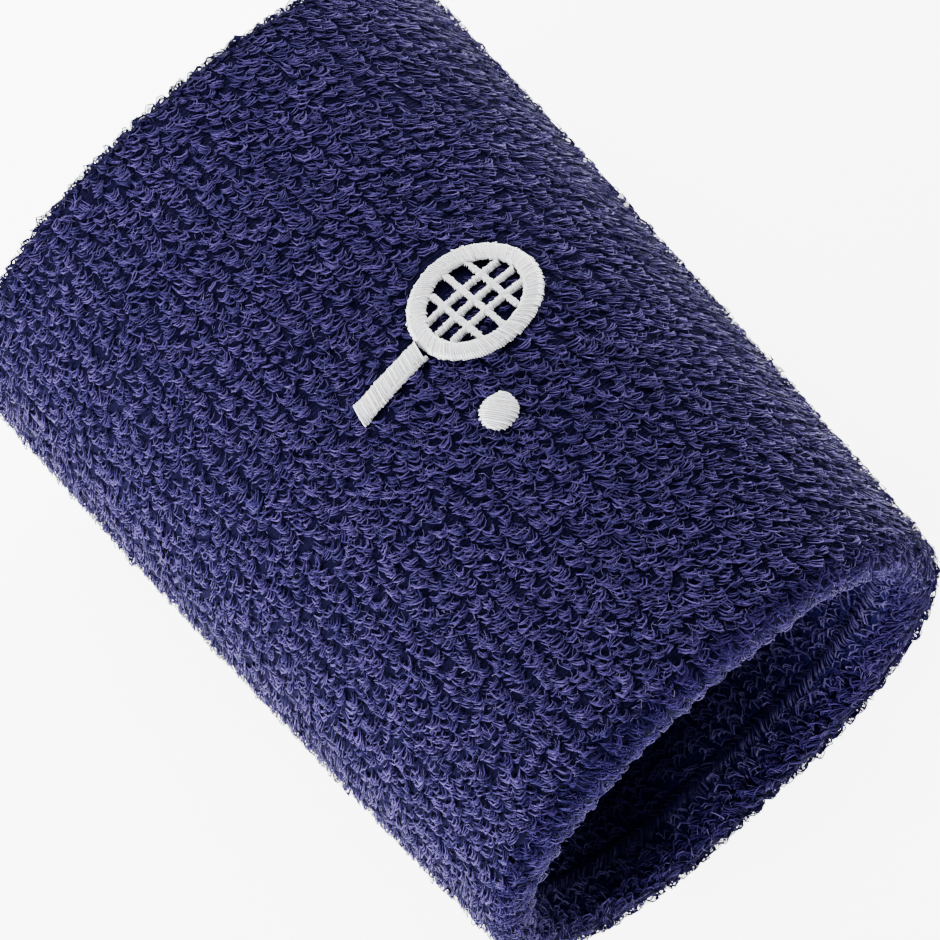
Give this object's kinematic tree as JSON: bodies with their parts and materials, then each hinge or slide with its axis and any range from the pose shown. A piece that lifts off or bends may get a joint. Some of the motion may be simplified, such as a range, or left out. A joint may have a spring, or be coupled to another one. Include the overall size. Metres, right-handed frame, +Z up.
{
  "type": "sweat wristband",
  "caption": "Double-length terry sweat wristband: a folded, elastic knitted tube with rounded rims, a closing seam and a small embroidered racket and ball.",
  "frame": {"origin": "under the middle of the band, on the surface that it lies on", "axes": "+Y along the band from its mouth to its far end, +X across it, +Z up; the racket emblem is on the upper side"},
  "size_m": [0.0848, 0.12, 0.0459],
  "materials": {
    "terry": "navy looped terry pile, matt with a faint sheen",
    "rim_terry": "navy terry pile, short and close over the folds",
    "seam_thread": "navy overlock stitching, dense and cord-like",
    "elastic": "covered elastic yarn, dull",
    "embroidery_thread": "white satin-stitched thread, soft gloss",
    "backing": "white tear-away stabiliser, matt"
  },
  "bodies": {
    "band_base": {"outer_ply_left": "terry", "outer_ply_bottom": "terry", "outer_ply_right": "terry", "inner_ply_left": "terry", "inner_ply_bottom": "terry", "inner_ply_right": "terry", "mouth_rim_left": "rim_terry", "mouth_rim_bottom": "rim_terry", "mouth_rim_right": "rim_terry", "far_rim_left": "rim_terry", "far_rim_bottom": "rim_terry", "far_rim_right": "rim_terry", "closing_seam": "seam_thread", "elastic_yarn": "elastic"},
    "band_top": {"outer_ply_top": "terry", "inner_ply_top": "terry", "mouth_rim_top": "rim_terry", "far_rim_top": "rim_terry", "emblem_head": "embroidery_thread", "emblem_handle": "embroidery_thread", "emblem_ball": "embroidery_thread", "emblem_strings": "embroidery_thread", "emblem_backing": "backing"}
  },
  "joints": [
    {"name": "open_and_press", "type": "slide", "parent": "band_base", "child": "band_top", "axis": [0, 0, 1], "range_m": [-0.014, 0.012], "stiffness_N_per_m": 80, "deforming": ["closing_seam", "elastic_yarn"]}
  ]
}
